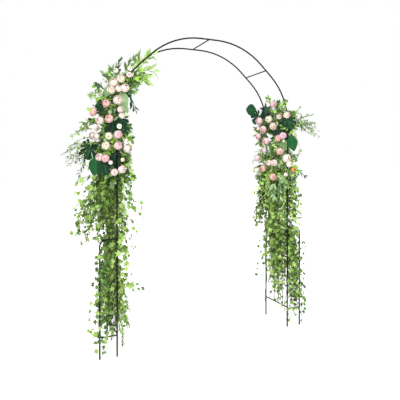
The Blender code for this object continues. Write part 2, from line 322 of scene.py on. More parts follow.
def noise(tree, scale, detail, vector):
    sockets = {"Scale": scale, "Detail": detail, "Vector": vector}
    return add_node(tree, "TexNoise", sockets).outputs["Fac"]


def ramp(tree, value, stops):
    node = add_node(tree, "ValToRGB", {"Fac": value})
    while len(node.color_ramp.elements) < len(stops):
        node.color_ramp.elements.new(0.5)
    for element, (position, colour) in zip(node.color_ramp.elements, stops):
        element.position = position
        element.color = (*colour, 1.0)
    return node.outputs["Color"]


def maths(tree, operation, *values):
    node = add_node(tree, "Math", {})
    node.operation = operation
    for socket, value in zip(node.inputs, values):
        feed(tree, socket, value)
    return node.outputs["Value"]


def mix_colour(tree, blend, factor, one, two):
    node = add_node(tree, "Mix", {})
    node.data_type = "RGBA"
    node.blend_type = blend
    for name, value in (("Factor_Float", factor), ("A_Color", one), ("B_Color", two)):
        feed(tree, next(s for s in node.inputs if s.identifier == name), value)
    return next(s for s in node.outputs if s.identifier == "Result_Color")


def attribute(tree, name):
    node = add_node(tree, "Attribute", {})
    node.attribute_name = name
    return node


def leaf_place(tree):
    """Where a point lies on its leaf or petal: across and along."""
    node = add_node(tree, "UVMap", {})
    node.uv_map = "leaf"
    return node.outputs["UV"]


def object_place(tree):
    return add_node(tree, "TexCoord", {}).outputs["Object"]


def bump(tree, shader, height, distance, strength):
    node = add_node(tree, "Bump", {"Height": height, "Distance": distance, "Strength": strength})
    feed(tree, shader.inputs["Normal"], node.outputs["Normal"])


def dress(tree, shader, colour, value, low, high):
    """Give a shader its colour, and a roughness that follows a value from low to high."""
    node = add_node(tree, "MapRange", {"Value": value, "To Min": low, "To Max": high})
    feed(tree, shader.inputs["Roughness"], node.outputs["Result"])
    feed(tree, shader.inputs["Base Color"], colour)


def coated_metal():
    """Satin black powder coat, with its fine orange peel and faint dust."""
    made, tree, shader = new_material("satin_black_powder_coat")
    shader.inputs["Specular IOR Level"].default_value = 0.1
    place = object_place(tree)
    dust = noise(tree, 14.0, 4.0, place)
    colour = ramp(tree, dust, ((0.3, (0.004, 0.004, 0.005)), (0.8, (0.01, 0.01, 0.012))))
    dress(tree, shader, colour, dust, 0.4, 0.55)
    bump(tree, shader, noise(tree, 900.0, 2.0, place), 0.0002, 0.35)
    return made


def zinc_metal():
    """Blackened zinc on the screws."""
    made, tree, shader = new_material("black_zinc_plate")
    shader.inputs["Metallic"].default_value = 1.0
    stain = noise(tree, 260.0, 3.0, object_place(tree))
    colour = ramp(tree, stain, ((0.3, (0.05, 0.05, 0.055)), (0.8, (0.12, 0.12, 0.125))))
    dress(tree, shader, colour, stain, 0.28, 0.5)
    return made


def cap_plastic():
    """Moulded black plastic of the foot caps, with a fine spark-eroded grain."""
    made, tree, shader = new_material("moulded_black_plastic")
    place = object_place(tree)
    scuff = noise(tree, 60.0, 4.0, place)
    colour = ramp(tree, scuff, ((0.3, (0.014, 0.014, 0.015)), (0.85, (0.035, 0.035, 0.036))))
    dress(tree, shader, colour, scuff, 0.48, 0.68)
    bump(tree, shader, noise(tree, 1500.0, 2.0, place), 0.0002, 0.5)
    return made


def leaf_surface(
    name, colours, vein, roughness, stops=(0, 0.5, 1), vein_slope=0.9, veins=7.0, palmate=False
):
    """Printed artificial leaf cloth: a shade for each leaf, pale veins, and a mottled print."""
    made, tree, shader = new_material(name)
    split = add_node(tree, "SeparateXYZ", {"Vector": leaf_place(tree)})
    across = maths(tree, "ABSOLUTE", split.outputs["X"])
    along = split.outputs["Y"]
    mottle = noise(tree, 55.0, 3.0, object_place(tree))
    shade = maths(tree, "SUBTRACT", attribute(tree, "shade").outputs["Fac"], 0.15)
    base = ramp(tree, maths(tree, "MULTIPLY_ADD", mottle, 0.3, shade), list(zip(stops, colours)))
    midrib = maths(tree, "LESS_THAN", across, 0.07)
    if palmate:
        angle = maths(tree, "ARCTAN2", across, maths(tree, "SUBTRACT", along, 0.12))
        fan = maths(tree, "COSINE", maths(tree, "MULTIPLY", angle, 2 * pi / 0.72))
        side_vein = maths(tree, "GREATER_THAN", fan, 0.955)
    else:
        slanted = maths(tree, "SUBTRACT", along, maths(tree, "MULTIPLY", across, vein_slope * 0.45))
        wave = maths(tree, "SINE", maths(tree, "MULTIPLY", slanted, veins * 2 * pi))
        side_vein = maths(tree, "GREATER_THAN", wave, 0.9)
    lines = maths(tree, "MAXIMUM", midrib, maths(tree, "MULTIPLY", side_vein, 0.55))
    colour = mix_colour(tree, "MIX", maths(tree, "MULTIPLY", lines, 0.55), base, vein)
    dress(tree, shader, colour, mottle, roughness - 0.07, roughness + 0.1)
    relief = maths(tree, "MULTIPLY_ADD", lines, -1.0, maths(tree, "MULTIPLY", mottle, 0.3))
    bump(tree, shader, relief, 0.0006, 0.5)
    shader.inputs["Specular IOR Level"].default_value = 0.16
    return made


def petal_surface():
    """Silk petals: each point's tint from its dye with painted shade at the petal's base, fine
    lengthwise creases with painted shade in them, and a soft sheen.
    """
    made, tree, shader = new_material("silk_petal")
    stretch = add_node(tree, "Mapping", {"Vector": leaf_place(tree)})
    stretch.inputs["Scale"].default_value = (9.0, 1.2, 1.0)
    crease = noise(tree, 3.0, 4.0, stretch.outputs["Vector"])
    dye = noise(tree, 40.0, 2.0, object_place(tree))
    # The creases also darken the colour a little: painted shade in the creases.
    shadow = ramp(tree, crease, ((0.25, (0.9, 0.84, 0.84)), (0.7, (1.0, 1.0, 1.0))))
    blotch = ramp(tree, dye, ((0.3, (0.95, 0.9, 0.9)), (0.65, (1.0, 1.0, 1.0))))
    tint_with_shade = mix_colour(tree, "MULTIPLY", 1.0, attribute(tree, "tint").outputs["Color"], shadow)
    colour = mix_colour(tree, "MULTIPLY", 0.8, tint_with_shade, blotch)
    shader.inputs["Sheen Weight"].default_value = 0.25
    shader.inputs["Sheen Roughness"].default_value = 0.5
    dress(tree, shader, colour, crease, 0.55, 0.75)
    bump(tree, shader, crease, 0.0006, 0.4)
    return made


def stem_surface():
    """Flexible plastic vine stems, olive to brown."""
    made, tree, shader = new_material("vine_stem")
    bark = noise(tree, 120.0, 3.0, object_place(tree))
    colour = ramp(tree, bark, ((0.3, (0.03, 0.055, 0.018)), (0.75, (0.13, 0.17, 0.05))))
    dress(tree, shader, colour, bark, 0.5, 0.75)
    bump(tree, shader, bark, 0.0005, 0.6)
    return made


# Leaf colours run from the deepest to the brightest leaf of a kind
LEAF_SURFACES = {
    "ivy": leaf_surface(
        "ivy_leaf_print",
        ((0.006, 0.026, 0.003), (0.052, 0.13, 0.014), (0.18, 0.31, 0.046), (0.265, 0.385, 0.105)),
        vein=(0.36, 0.5, 0.15), roughness=0.48, stops=(0, 0.3, 0.62, 1), palmate=True,
    ),
    "rose_leaf": leaf_surface(
        "rose_leaf_print",
        ((0.005, 0.03, 0.004), (0.064, 0.175, 0.017), (0.27, 0.46, 0.06)),
        vein=(0.25, 0.42, 0.11), roughness=0.45, stops=(0, 0.4, 1),
    ),
    "dark": leaf_surface(
        "dark_glossy_leaf",
        ((0.001, 0.013, 0.005), (0.003, 0.036, 0.01), (0.008, 0.16, 0.03)),
        vein=(0.02, 0.12, 0.04), roughness=0.3, vein_slope=0.6, veins=5.0,
    ),
    "deep": leaf_surface(
        "deep_green_ivy",
        ((0.005, 0.022, 0.002), (0.024, 0.078, 0.008), (0.09, 0.21, 0.026)),
        vein=(0.14, 0.26, 0.06), roughness=0.45, palmate=True,
    ),
    "grey": leaf_surface(
        "grey_green_leaf",
        ((0.024, 0.075, 0.022), (0.1, 0.205, 0.07), (0.3, 0.44, 0.22)),
        vein=(0.4, 0.52, 0.34), roughness=0.55,
    ),
    "pale": leaf_surface(
        "pale_willow_leaf",
        ((0.12, 0.24, 0.042), (0.25, 0.41, 0.1), (0.45, 0.61, 0.24)),
        vein=(0.52, 0.66, 0.34), roughness=0.55,
    ),
    "lime": leaf_surface(
        "lime_green_leaf",
        ((0.12, 0.26, 0.02), (0.24, 0.41, 0.06), (0.4, 0.56, 0.15)),
        vein=(0.5, 0.66, 0.28), roughness=0.5,
    ),
}
STEM_SURFACE = stem_surface()
PETAL_SURFACE = petal_surface()


# ---- shoots

# For each kind of shoot: leaf shape, leaf surface, leaf length, spacing along the stem, stalk
# length, leaves at each step, and how much the leaves spread away from the stem.
SHOOTS = {
    "ivy": ("ivy", "ivy", 0.056, 0.021, 0.018, 1, 0.9),
    "small_ivy": ("ivy", "ivy", 0.036, 0.017, 0.012, 1, 0.9),
    "ivy_strand": ("ivy", "ivy", 0.048, 0.048, 0.022, 2, 1.2),
    "deep_ivy": ("ivy", "deep", 0.046, 0.022, 0.014, 1, 0.9),
    "deep_strand": ("ivy", "deep", 0.044, 0.042, 0.02, 2, 1.2),
    "rose_leaf": ("rose_leaf", "rose_leaf", 0.05, 0.024, 0.008, 2, 0.8),
    "eucalyptus": ("round", "grey", 0.036, 0.024, 0.004, 2, 1.0),
    "coin": ("round", "lime", 0.034, 0.03, 0.005, 2, 1.2),
    "willow": ("willow", "pale", 0.1, 0.05, 0.006, 2, 0.6),
    "sage": ("willow", "grey", 0.055, 0.016, 0.003, 2, 0.6),
    "pale_sage": ("willow", "pale", 0.05, 0.018, 0.003, 2, 0.6),
    "fine": ("blade", "pale", 0.024, 0.011, 0.002, 2, 0.7),
    "fern": ("blade", "ivy", 0.036, 0.012, 0.002, 2, 0.6),
    "sprig": ("oval", "ivy", 0.024, 0.012, 0.003, 2, 0.9),
    "box": ("oval", "ivy", 0.024, 0.013, 0.003, 2, 0.9),
    "olive": ("willow", "dark", 0.045, 0.02, 0.003, 2, 0.7),
}

# How far trails in front keep from the middle of a post, and from the top of its wing
CLEAR_OF_POST = 0.02
CLEAR_OF_WING = 0.035


class Garland:
    """A stretch of planting on one side: its stems and one mesh for each leaf surface."""

    def __init__(self, name, side, seed):
        self.name, self.side = name, side
        self.rng = random.Random(seed)
        self.stems = Growth()
        self.leaves = {}
        self.shown = []  # the middle, facing and radius of each bloom or large leaf

    def growth(self, surface):
        return self.leaves.setdefault(surface, Growth())

    def shade(self, light):
        """A leaf's own brightness: many middling leaves, with deep and bright ones among them."""
        lot = self.rng.random()
        own = light - 0.44 if lot < 0.36 else light + 0.4 if lot > 0.72 else light
        return min(max(self.rng.gauss(own, 0.12), 0.0), 1.0)

    def show(self, centre, direction, radius):
        """Keep smaller leaves from growing in front of a bloom or large leaf."""
        to_stand = unit(STAND - centre)
        axis = to_stand if (to_stand * direction).sum() > 0 else direction
        self.shown.append((centre, axis, radius))

    def clear(self, point):
        """False for a place in front of a bloom or large leaf."""
        for centre, axis, radius in self.shown:
            offset = point - centre
            nearer = (offset * axis).sum()
            if nearer > -0.01 and (offset * offset).sum() - nearer * nearer < radius * radius:
                return False
        return True

    def off_frame(self, point):
        """False for a place that would hide a front post, or the top of its wing, from the stand."""
        if point[1] > FRONT_Y - 0.004:
            return True  # behind the front hoop
        nearer = (point[1] - FRONT_Y) / (STAND[1] - FRONT_Y)
        seen = (point - nearer * STAND) / (1 - nearer)
        out = self.side * seen[0] - POST_X
        beside = 0 < out < WING_X - POST_X + CLEAR_OF_POST
        over_wing = beside and abs(seen[2] - WING_TOP) < CLEAR_OF_WING
        return abs(out) > CLEAR_OF_POST and not over_wing

    def wobble(self, amount):
        return np.array([self.rng.gauss(0.0, amount) for _ in range(3)])

    def shoot(self, kind, base, direction, length, droop, light, keep=None, sway=0.1):
        """A stem from base that bends down as it goes, with leaves along it where keep says yes."""
        shape, surface, leaf, gap, stalk, each, spread = SHOOTS[kind]
        rng = self.rng
        steps = max(3, round(length / gap))
        direction = unit(direction)
        sway = self.wobble(sway)
        t = np.linspace(0, 1, steps + 1)[:, None]
        path = base + direction * length * t + (DOWN * droop + sway) * length * t * t
        self.stems.stem(path, 0.0014, 0.0007, rng.random(), sides=3)
        grown = self.growth(surface)
        for step in range(1, steps + 1):
            here = path[step]
            forward = unit(path[step] - path[step - 1])
            sideways = np.cross(forward, unit(direction + DOWN * 0.3 + self.wobble(0.3)))
            if (sideways * sideways).sum() < 0.01:
                sideways = np.cross(forward, np.array((1.0, 0.0, 0.0)))
            sideways = unit(sideways)
            hands = (-1, 1) if each == 2 else ((-1) ** step,)
            if step == steps:
                hands = (*hands, 0)
            for hand in hands:
                out = unit(forward + sideways * (hand * spread) + self.wobble(0.22))
                grow = leaf * rng.uniform(0.72, 1.18) * (1 - 0.25 * step / steps)
                start = here + out * stalk
                leaf_middle = start + out * grow * 0.5
                hidden = keep is not None and not keep(leaf_middle)
                if hidden or leaf_middle[2] < 0.04 or not self.clear(leaf_middle):
                    continue
                core, _ = spine(self.side, leaf_middle[2])
                away = (leaf_middle - core) * np.array((3.0, 4.5, 0.0))
                face = unit(np.clip(away, -0.8, 0.8) - DOWN * 0.45 + self.wobble(0.35))
                self.stems.stem((here, start), 0.0006, 0.0005, rng.random(), sides=3)
                grown.leaf(shape, start, out, face, grow, self.shade(light), rng)

    def build(self, *nodes):
        """Make the objects. The stems stand for the CAD nodes of this stretch."""
        self.stems.build(f"{self.name}_stems", STEM_SURFACE, "ivy_leaf", *nodes)
        for surface, grown in self.leaves.items():
            grown.build(f"{self.name}_{surface}_leaves", LEAF_SURFACES[surface], "ivy_leaf")


# ---- roses

PETAL_LAYERS = (
    # petals, radius, height, half span in degrees, how far the rim closes in, curl of the rim
    (3, 0.14, 0.9, 88, 0.92, 0.00),
    (3, 0.26, 0.9, 80, 0.78, 0.00),
    (4, 0.37, 0.85, 68, 0.62, 0.02),
    (5, 0.46, 0.75, 58, 0.42, 0.03),
    (5, 0.52, 0.64, 56, 0.18, 0.07),
)
BUD_LAYERS = 3  # the inner layers, which are all that a bud shows
BUD_WIDTH = 0.05  # a narrower rose is a half-open bud
PETAL_TUCK = 0.07  # how much each petal reaches under its neighbour
SEPALS = 5
ROSE_OVAL = (0.14, 0.22)  # half width and half depth of the oval that the roses sit on
TONES = {
    # heart, outer petals
    "cream": ((0.92, 0.8, 0.58), (0.95, 0.9, 0.78)),
    "white": ((0.74, 0.82, 0.42), (0.9, 0.93, 0.76)),
    "blush": ((0.9, 0.72, 0.64), (0.94, 0.86, 0.78)),
    "pale": ((0.9, 0.7, 0.66), (0.94, 0.85, 0.8)),
    "pink": ((0.92, 0.45, 0.5), (0.95, 0.7, 0.73)),
    "coral": ((0.88, 0.4, 0.34), (0.94, 0.67, 0.6)),
    "peach": ((0.9, 0.66, 0.5), (0.93, 0.82, 0.71)),
    "violet": ((0.88, 0.48, 0.62), (0.94, 0.73, 0.82)),
    "orange": ((0.5, 0.13, 0.01), (0.72, 0.25, 0.04)),
    "yellow": ((0.85, 0.62, 0.14), (0.92, 0.84, 0.48)),
}


def petal(radius, height, half_span, close, curl, turn, rng):
    """One cupped petal round the bloom's axis, and how far each point is from base to rim."""
    rows, columns = 6, 5
    points, part = [], []
    ruffle = rng.uniform(0, 2 * pi)
    for row in range(rows + 1):
        v = row / rows
        bowl = radius * (0.16 + 0.84 * sin(pi / 2 * min(1.0, v * 1.25)) ** 0.9)
        rim = max(0.0, v - 0.62) / 0.38
        spread = bowl * (1 - close * max(0.0, v - 0.35) ** 1.5 / 0.52) + curl * rim * rim * 0.55
        rise = height * (v**0.85) - curl * rim * rim * 0.5
        width = sin(pi * (0.22 + 0.6 * v)) if v < 0.9 else sin(pi * 0.76) * 0.93
        for column in range(columns + 1):
            u = 2 * column / columns - 1
            angle = turn + radians(half_span) * u * width
            lean = 1 + PETAL_TUCK * u
            crown = 1 - 0.1 * rim * u * u
            wave = 0.012 * rim * sin(3 * u + ruffle)
            reach = (spread + wave) * lean
            points.append((reach * cos(angle), reach * sin(angle), rise * crown))
            part.append((u, v))
    return np.array(points), grid_faces(rows, columns), np.array(part)


def rose(blooms, greens, base, direction, width, tone, rng, layers):
    """A bloom with its centre at base, opening along a direction, and sepals under it."""
    axis = unit(direction)
    across = unit(np.cross(axis, np.array((0.12, 0.31, 0.94))))
    up = np.cross(axis, across)
    heart, outer = (np.array(colour) for colour in TONES[tone])
    lift = base - axis * width * 0.35
    shown = PETAL_LAYERS[:layers]
    spread = PETAL_LAYERS[-1][1] / shown[-1][1]
    for number, (count, radius, height, half_span, close, curl) in enumerate(shown):
        depth = number / (len(shown) - 1)
        first = rng.uniform(0, 2 * pi)
        for k in range(count):
            turn = first + 2 * pi * k / count + rng.uniform(-0.12, 0.12)
            size = rng.uniform(0.94, 1.06)
            shape, faces, part = petal(
                radius * spread * size, height * size, half_span, close, curl, turn, rng
            )
            shape = shape[:, :1] * across + shape[:, 1:2] * up + shape[:, 2:] * axis
            dye = np.clip(0.15 + 0.75 * depth + 0.3 * (part[:, 1:] - 0.5), 0, 1)
            tint = heart * (1 - dye) + outer * dye
            # Each petal is up to a tenth darker towards its base, deep in the bloom: painted shade.
            # The last factor is a random tone.
            tint = tint * (1 - 0.1 * (1 - part[:, 1:])) * rng.uniform(0.95, 1.03)
            blooms.add(lift + width * shape, faces, part, rng.random(), np.clip(tint, 0, 1))
    cup_base = lift + axis * width * 0.02
    for k in range(SEPALS):
        turn = 2 * pi * k / SEPALS + 0.3
        out = across * cos(turn) + up * sin(turn)
        greens.leaf("blade", cup_base, out + axis * 0.55, axis - out, width * 0.42, 0.4, rng)


def grow_rose(garland, blooms, height, turn, tone, width, layers=len(PETAL_LAYERS)):
    """A rose on the garland's face, on a stalk from its middle line."""
    side, rng = garland.side, garland.rng
    base = on_garland(side, height, turn, *ROSE_OVAL)
    away = facing(side, height, turn)
    direction = unit(away + FORWARD * 0.6 - DOWN * 0.15 + garland.wobble(0.16))
    garland.show(base, direction, width * 0.5 + 0.008)
    rose(blooms, garland.growth("rose_leaf"), base, direction, width, tone, rng, layers)
    root = on_garland(side, height - 0.05, turn, 0.02, FRONT_Y * -0.6)
    under = base - direction * width * 0.35
    path = [root, root * 0.5 + under * 0.5 - direction * 0.01 + DOWN * 0.01, under]
    garland.stems.stem(path, 0.0022, 0.0016, rng.random(), sides=5)


# ---- vines

VINE_RADIUS = 0.0026
WINDS = 3.0  # turns of a vine for each metre of height


def vine(garland, out, y, low, high, radius):
    """A main vine that winds up beside a post at a sideways offset and depth. Returns its path."""
    rng = garland.rng
    phase = rng.uniform(0, 2 * pi)
    steps = max(8, int((high - low) / 0.018))
    path = []
    for step in range(steps + 1):
        height = low + (high - low) * step / steps
        place, outward = spine(garland.side, height)
        angle = phase + 2 * pi * WINDS * (height - low)
        swing = radius * (1 + 0.25 * sin(7 * height + phase))
        forth = np.array((0.0, y + swing * sin(angle), 0.0))
        path.append(place + outward * (out + swing * cos(angle)) + forth)
    garland.stems.stem(path, VINE_RADIUS, VINE_RADIUS * 0.8, rng.random(), sides=5)
    return path


def camera():
    """The camera stands to the left of the arch at eye height, and its lens is shifted down."""
    lens = bpy.data.cameras.new("camera")
    lens.lens = 40.0
    lens.sensor_width = 36.0
    lens.shift_y = -0.0808
    made = new_object("camera", lens)
    made.location = STAND
    made.rotation_euler = (radians(90 - 0.43), 0, radians(-23.77))
    bpy.context.scene.camera = made


def sun_light(name, place, angle, strength):
    """A soft far light that shines from a place towards the middle of the arch."""
    light = bpy.data.lights.new(name, "SUN")
    light.angle = radians(angle)
    light.energy = strength
    made = new_object(name, light)
    made.location = place
    made.rotation_euler = Vector(place).to_track_quat("Z", "Y").to_euler()


def studio():
    """A pale floor, a white surround and soft lights."""
    scene = bpy.context.scene
    scene.view_settings.view_transform = "Standard"
    world = bpy.data.worlds.new("studio")
    world.use_nodes = True
    tree = world.node_tree
    background = tree.nodes["Background"]
    background.inputs["Color"].default_value = (1.0, 1.0, 1.0, 1.0)
    background.inputs["Strength"].default_value = 1.0
    scene.world = world
    mesh = bpy.data.meshes.new("floor")
    half = 30.0
    corners = [(-half, -half, 0), (half, -half, 0), (half, half, 0), (-half, half, 0)]
    mesh.from_pydata(corners, [], [(0, 1, 2, 3)])
    made, _, shader = new_material("pale_floor")
    shader.inputs["Roughness"].default_value = 0.9
    shader.inputs["Base Color"].default_value = (0.95, 0.95, 0.95, 1.0)
    shader.inputs["Specular IOR Level"].default_value = 0.0
    mesh.materials.append(made)
    new_object("floor", mesh)
    sun_light("key", (-2.2, -3.6, 3.6), 45, 3.1)
    sun_light("fill", (3.5, -2.0, 2.5), 70, 0.8)


camera()
studio()

paint, zinc, plastic = coated_metal(), zinc_metal(), cap_plastic()
for name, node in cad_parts.items():
    surface = zinc if "screw" in name else plastic if "foot_cap" in name else paint
    node.data.materials.clear()
    node.data.materials.append(surface)


# Roses on each swag: height, turn, tone and width
LEFT_ROSES = (
    (2.0, 113, "cream", 0.066), (1.96, 127, "cream", 0.068), (1.91, 126, "cream", 0.066),
    (1.95, 91, "blush", 0.066), (1.93, 107, "pale", 0.056), (2.05, 98, "pink", 0.044),
    (2.09, 106, "white", 0.04), (2.04, 138, "cream", 0.046), (1.97, 162, "white", 0.04),
    (1.85, 101, "pale", 0.066), (1.82, 129, "coral", 0.06), (1.77, 176, "coral", 0.07),
    (1.72, 116, "coral", 0.064), (1.75, 80, "blush", 0.052), (1.79, 88, "peach", 0.05),
    (1.71, 143, "pale", 0.06), (1.61, 180, "pale", 0.06), (1.6, 158, "cream", 0.054),
    (1.61, 92, "pink", 0.064), (1.67, 88, "white", 0.044), (1.6, 117, "white", 0.058),
    (1.53, 125, "cream", 0.066), (1.53, 93, "pink", 0.062), (1.51, 60, "pale", 0.064),
    (1.56, 66, "peach", 0.046), (1.45, 144, "pale", 0.06), (1.44, 127, "pink", 0.062),
    (1.41, 112, "cream", 0.034), (1.34, 102, "pale", 0.056), (1.36, 80, "pale", 0.06),
    (1.43, 78, "yellow", 0.034),
)
RIGHT_ROSES = (
    (1.81, -12, "pink", 0.066), (1.81, 24, "white", 0.066), (1.73, 34, "peach", 0.066),
    (1.71, 2, "pink", 0.064), (1.73, -26, "peach", 0.044), (1.65, -26, "pink", 0.06),
    (1.95, 46, "pink", 0.056), (1.82, 78, "peach", 0.064), (1.82, 54, "pale", 0.05),
    (1.64, 62, "violet", 0.064), (1.62, 49, "coral", 0.06), (1.6, 12, "pink", 0.066),
    (1.52, 4, "violet", 0.052), (1.51, 53, "coral", 0.066), (1.45, 73, "cream", 0.076),
    (1.4, 83, "cream", 0.062), (1.41, 37, "pale", 0.064), (1.41, 22, "blush", 0.056),
    (1.36, 1, "coral", 0.066), (1.29, 33, "coral", 0.066), (1.35, 98, "orange", 0.046),
    (1.31, 71, "cream", 0.038),
)


# Shoots listed one by one: kind, base, tip, and how far the middle rises where it isn't straight. A
# place is (metres outward from the posts, metres forward of the middle, height).
LEFT_SWAG_SPRAYS = (
    ("willow", (-0.12, 0.05, 2.08), (-0.28, 0.1, 2.22), 0.02),
    ("willow", (-0.1, 0.15, 2.02), (-0.25, 0.17, 2.1), 0.03),
    ("willow", (-0.09, 0.0, 2.06), (-0.2, 0.02, 2.2), 0.02),
    ("willow", (-0.07, 0.17, 1.99), (-0.19, 0.2, 2.01), 0.02),
    ("willow", (-0.08, 0.1, 2.0), (-0.19, 0.16, 2.05), 0.02),
    ("sage", (-0.1, 0.0, 2.1), (-0.18, 0.0, 2.23), 0.01),
    ("sage", (0.0, 0.0, 2.04), (-0.05, 0.08, 2.16), 0.01),
    ("sage", (0.02, 0.1, 1.97), (0.07, 0.13, 2.03), 0.01),
    ("sage", (0.03, -0.05, 1.95), (0.08, -0.08, 2.01), 0.01),
    ("box", (0.05, 0.1, 1.88), (0.18, 0.12, 1.91), 0.02),
    ("box", (0.04, 0.12, 1.85), (0.16, 0.15, 1.81), 0.02),
    ("olive", (-0.08, 0.17, 1.98), (-0.12, 0.2, 1.8), -0.02),
    ("rose_leaf", (0.04, 0.1, 1.9), (0.13, 0.1, 1.95)),
    ("sage", (0.02, 0.12, 1.96), (0.08, 0.14, 2.03)),
    ("rose_leaf", (0.0, 0.12, 1.99), (0.03, 0.13, 2.07)),
    ("rose_leaf", (0.02, 0.1, 1.96), (0.06, 0.12, 2.02)),
    ("sage", (0.0, 0.14, 1.98), (0.02, 0.16, 2.08)),
    ("coin", (0.06, 0.1, 1.86), (0.16, 0.12, 1.88), 0.01),
    ("coin", (-0.06, 0.17, 1.76), (-0.11, 0.18, 1.38), -0.02),
    ("coin", (0.1, 0.05, 1.72), (0.28, 0.02, 1.6), 0.03),
    ("coin", (0.12, 0.05, 1.62), (0.22, 0.1, 1.4), 0.03),
    ("sprig", (0.1, 0.0, 1.66), (0.28, 0.0, 1.61), 0.02),
    ("sprig", (0.12, 0.0, 1.54), (0.34, -0.08, 1.47), 0.03),
    ("sprig", (0.12, 0.05, 1.53), (0.31, 0.05, 1.53), 0.02),
    ("sprig", (0.12, 0.0, 1.5), (0.32, 0.0, 1.41), 0.02),
    ("sprig", (0.2, 0.0, 1.53), (0.31, -0.04, 1.49), 0.01),
    ("sprig", (0.22, 0.0, 1.48), (0.33, 0.02, 1.44), 0.01),
    ("box", (0.16, 0.05, 1.6), (0.27, 0.05, 1.56), 0.01),
    ("box", (0.16, 0.05, 1.66), (0.25, 0.05, 1.64), 0.01),
    ("box", (0.1, 0.1, 1.55), (0.26, 0.1, 1.51), 0.02),
    ("box", (0.1, 0.08, 1.5), (0.24, 0.1, 1.45), 0.02),
    ("olive", (0.2, 0.05, 1.48), (0.26, 0.05, 1.28)),
    ("olive", (0.16, 0.05, 1.56), (0.25, 0.05, 1.47), 0.01),
    ("olive", (0.16, 0.02, 1.52), (0.26, 0.03, 1.42), 0.01),
    ("sprig", (0.18, 0.0, 1.5), (0.3, 0.02, 1.46), 0.01),
    ("sprig", (0.18, 0.02, 1.46), (0.31, 0.02, 1.4), 0.01),
    ("rose_leaf", (0.06, 0.05, 1.76), (0.16, 0.06, 1.79), 0.01),
    ("rose_leaf", (0.08, 0.05, 1.72), (0.2, 0.05, 1.7), 0.01),
    ("box", (0.08, 0.05, 1.7), (0.22, 0.05, 1.67), 0.01),
    ("rose_leaf", (0.03, 0.08, 1.64), (0.12, 0.11, 1.69)),
    ("box", (0.05, 0.1, 1.67), (0.12, 0.12, 1.63)),
)
LEFT_UPPER_SPRAYS = (
    ("ivy", (0.08, 0.12, 1.3), (0.26, 0.12, 1.17), 0.04),
    ("ivy", (0.08, 0.12, 1.24), (0.22, 0.14, 1.11), 0.03),
    ("ivy", (0.08, 0.1, 1.1), (0.26, 0.12, 0.93), 0.04),
    ("ivy", (0.1, 0.12, 1.14), (0.23, 0.15, 0.98), 0.03),
    ("ivy", (0.1, 0.1, 1.05), (0.24, 0.12, 0.86), 0.03),
    ("ivy", (0.12, 0.1, 1.34), (0.27, 0.12, 1.22), 0.02),
    ("ivy", (0.14, 0.1, 1.26), (0.27, 0.12, 1.1), 0.02),
    ("ivy", (0.16, 0.05, 1.2), (0.24, 0.08, 1.0), 0.01),
    ("ivy", (-0.02, 0.18, 1.16), (-0.16, 0.2, 1.1), 0.03),
    ("coin", (-0.04, 0.18, 1.1), (-0.18, 0.2, 1.0), 0.03),
    ("ivy", (-0.02, 0.17, 1.24), (-0.1, 0.2, 1.18), 0.02),
    ("deep_ivy", (-0.02, 0.18, 1.13), (-0.15, 0.2, 1.05), 0.02),
    ("deep_ivy", (-0.01, 0.18, 1.36), (-0.03, 0.2, 1.16)),
    ("deep_ivy", (0.06, 0.16, 1.24), (0.12, 0.18, 1.02)),
    ("deep_ivy", (0.12, 0.12, 1.14), (0.21, 0.14, 0.92), 0.01),
    ("ivy", (-0.02, 0.17, 1.0), (-0.13, 0.19, 0.93), 0.02),
    ("ivy", (-0.02, 0.18, 1.02), (-0.05, 0.19, 0.74)),
    ("fine", (-0.02, 0.18, 1.38), (-0.1, 0.2, 1.08), -0.02),
    ("fine", (-0.05, 0.16, 1.38), (-0.12, 0.18, 1.16), -0.02),
    ("fine", (-0.03, 0.19, 1.36), (-0.06, 0.21, 1.04), -0.02),
)
LEFT_LOWER_SPRAYS = (
    ("ivy", (-0.01, 0.17, 0.55), (-0.16, 0.2, 0.48), 0.02),
    ("ivy", (0.0, 0.17, 0.58), (-0.1, 0.2, 0.5), 0.02),
    ("ivy", (0.02, 0.18, 0.84), (0.12, 0.19, 0.77), 0.01),
    ("ivy", (-0.02, 0.18, 0.86), (-0.06, 0.19, 0.62)),
    ("ivy_strand", (0.12, 0.16, 0.7), (0.12, 0.18, 0.16)),
    ("ivy", (-0.01, 0.18, 0.66), (-0.1, 0.2, 0.56), 0.02),
    ("fern", (-0.02, 0.17, 0.56), (-0.05, 0.19, 0.3), -0.01),
    ("fern", (-0.01, 0.17, 0.5), (-0.07, 0.2, 0.26), -0.01),
    ("fern", (-0.02, 0.18, 0.4), (-0.04, 0.19, 0.1), -0.01),
    ("fern", (0.0, 0.14, 0.48), (-0.03, 0.15, 0.2), -0.01),
    ("fern", (-0.02, 0.18, 0.6), (-0.07, 0.2, 0.36), -0.01),
    ("fern", (-0.01, 0.18, 0.44), (-0.08, 0.2, 0.22), -0.01),
    ("deep_ivy", (0.11, 0.18, 0.32), (0.13, 0.19, 0.2)),
    ("deep_ivy", (0.12, 0.18, 0.72), (0.14, 0.19, 0.6)),
    ("deep_ivy", (0.02, 0.18, 0.84), (0.1, 0.19, 0.79), 0.01),
    ("deep_strand", (0.13, 0.19, 0.8), (0.13, 0.19, 0.1)),
    ("ivy_strand", (0.1, 0.1, 0.8), (0.15, 0.12, 0.22), 0.02),
    ("ivy", (0.02, 0.17, 0.2), (0.09, 0.19, 0.16), 0.02),
    ("ivy", (0.1, 0.18, 0.2), (0.15, 0.19, 0.1), 0.02),
    ("deep_strand", (0.08, 0.15, 0.8), (0.1, 0.17, 0.3)),
)
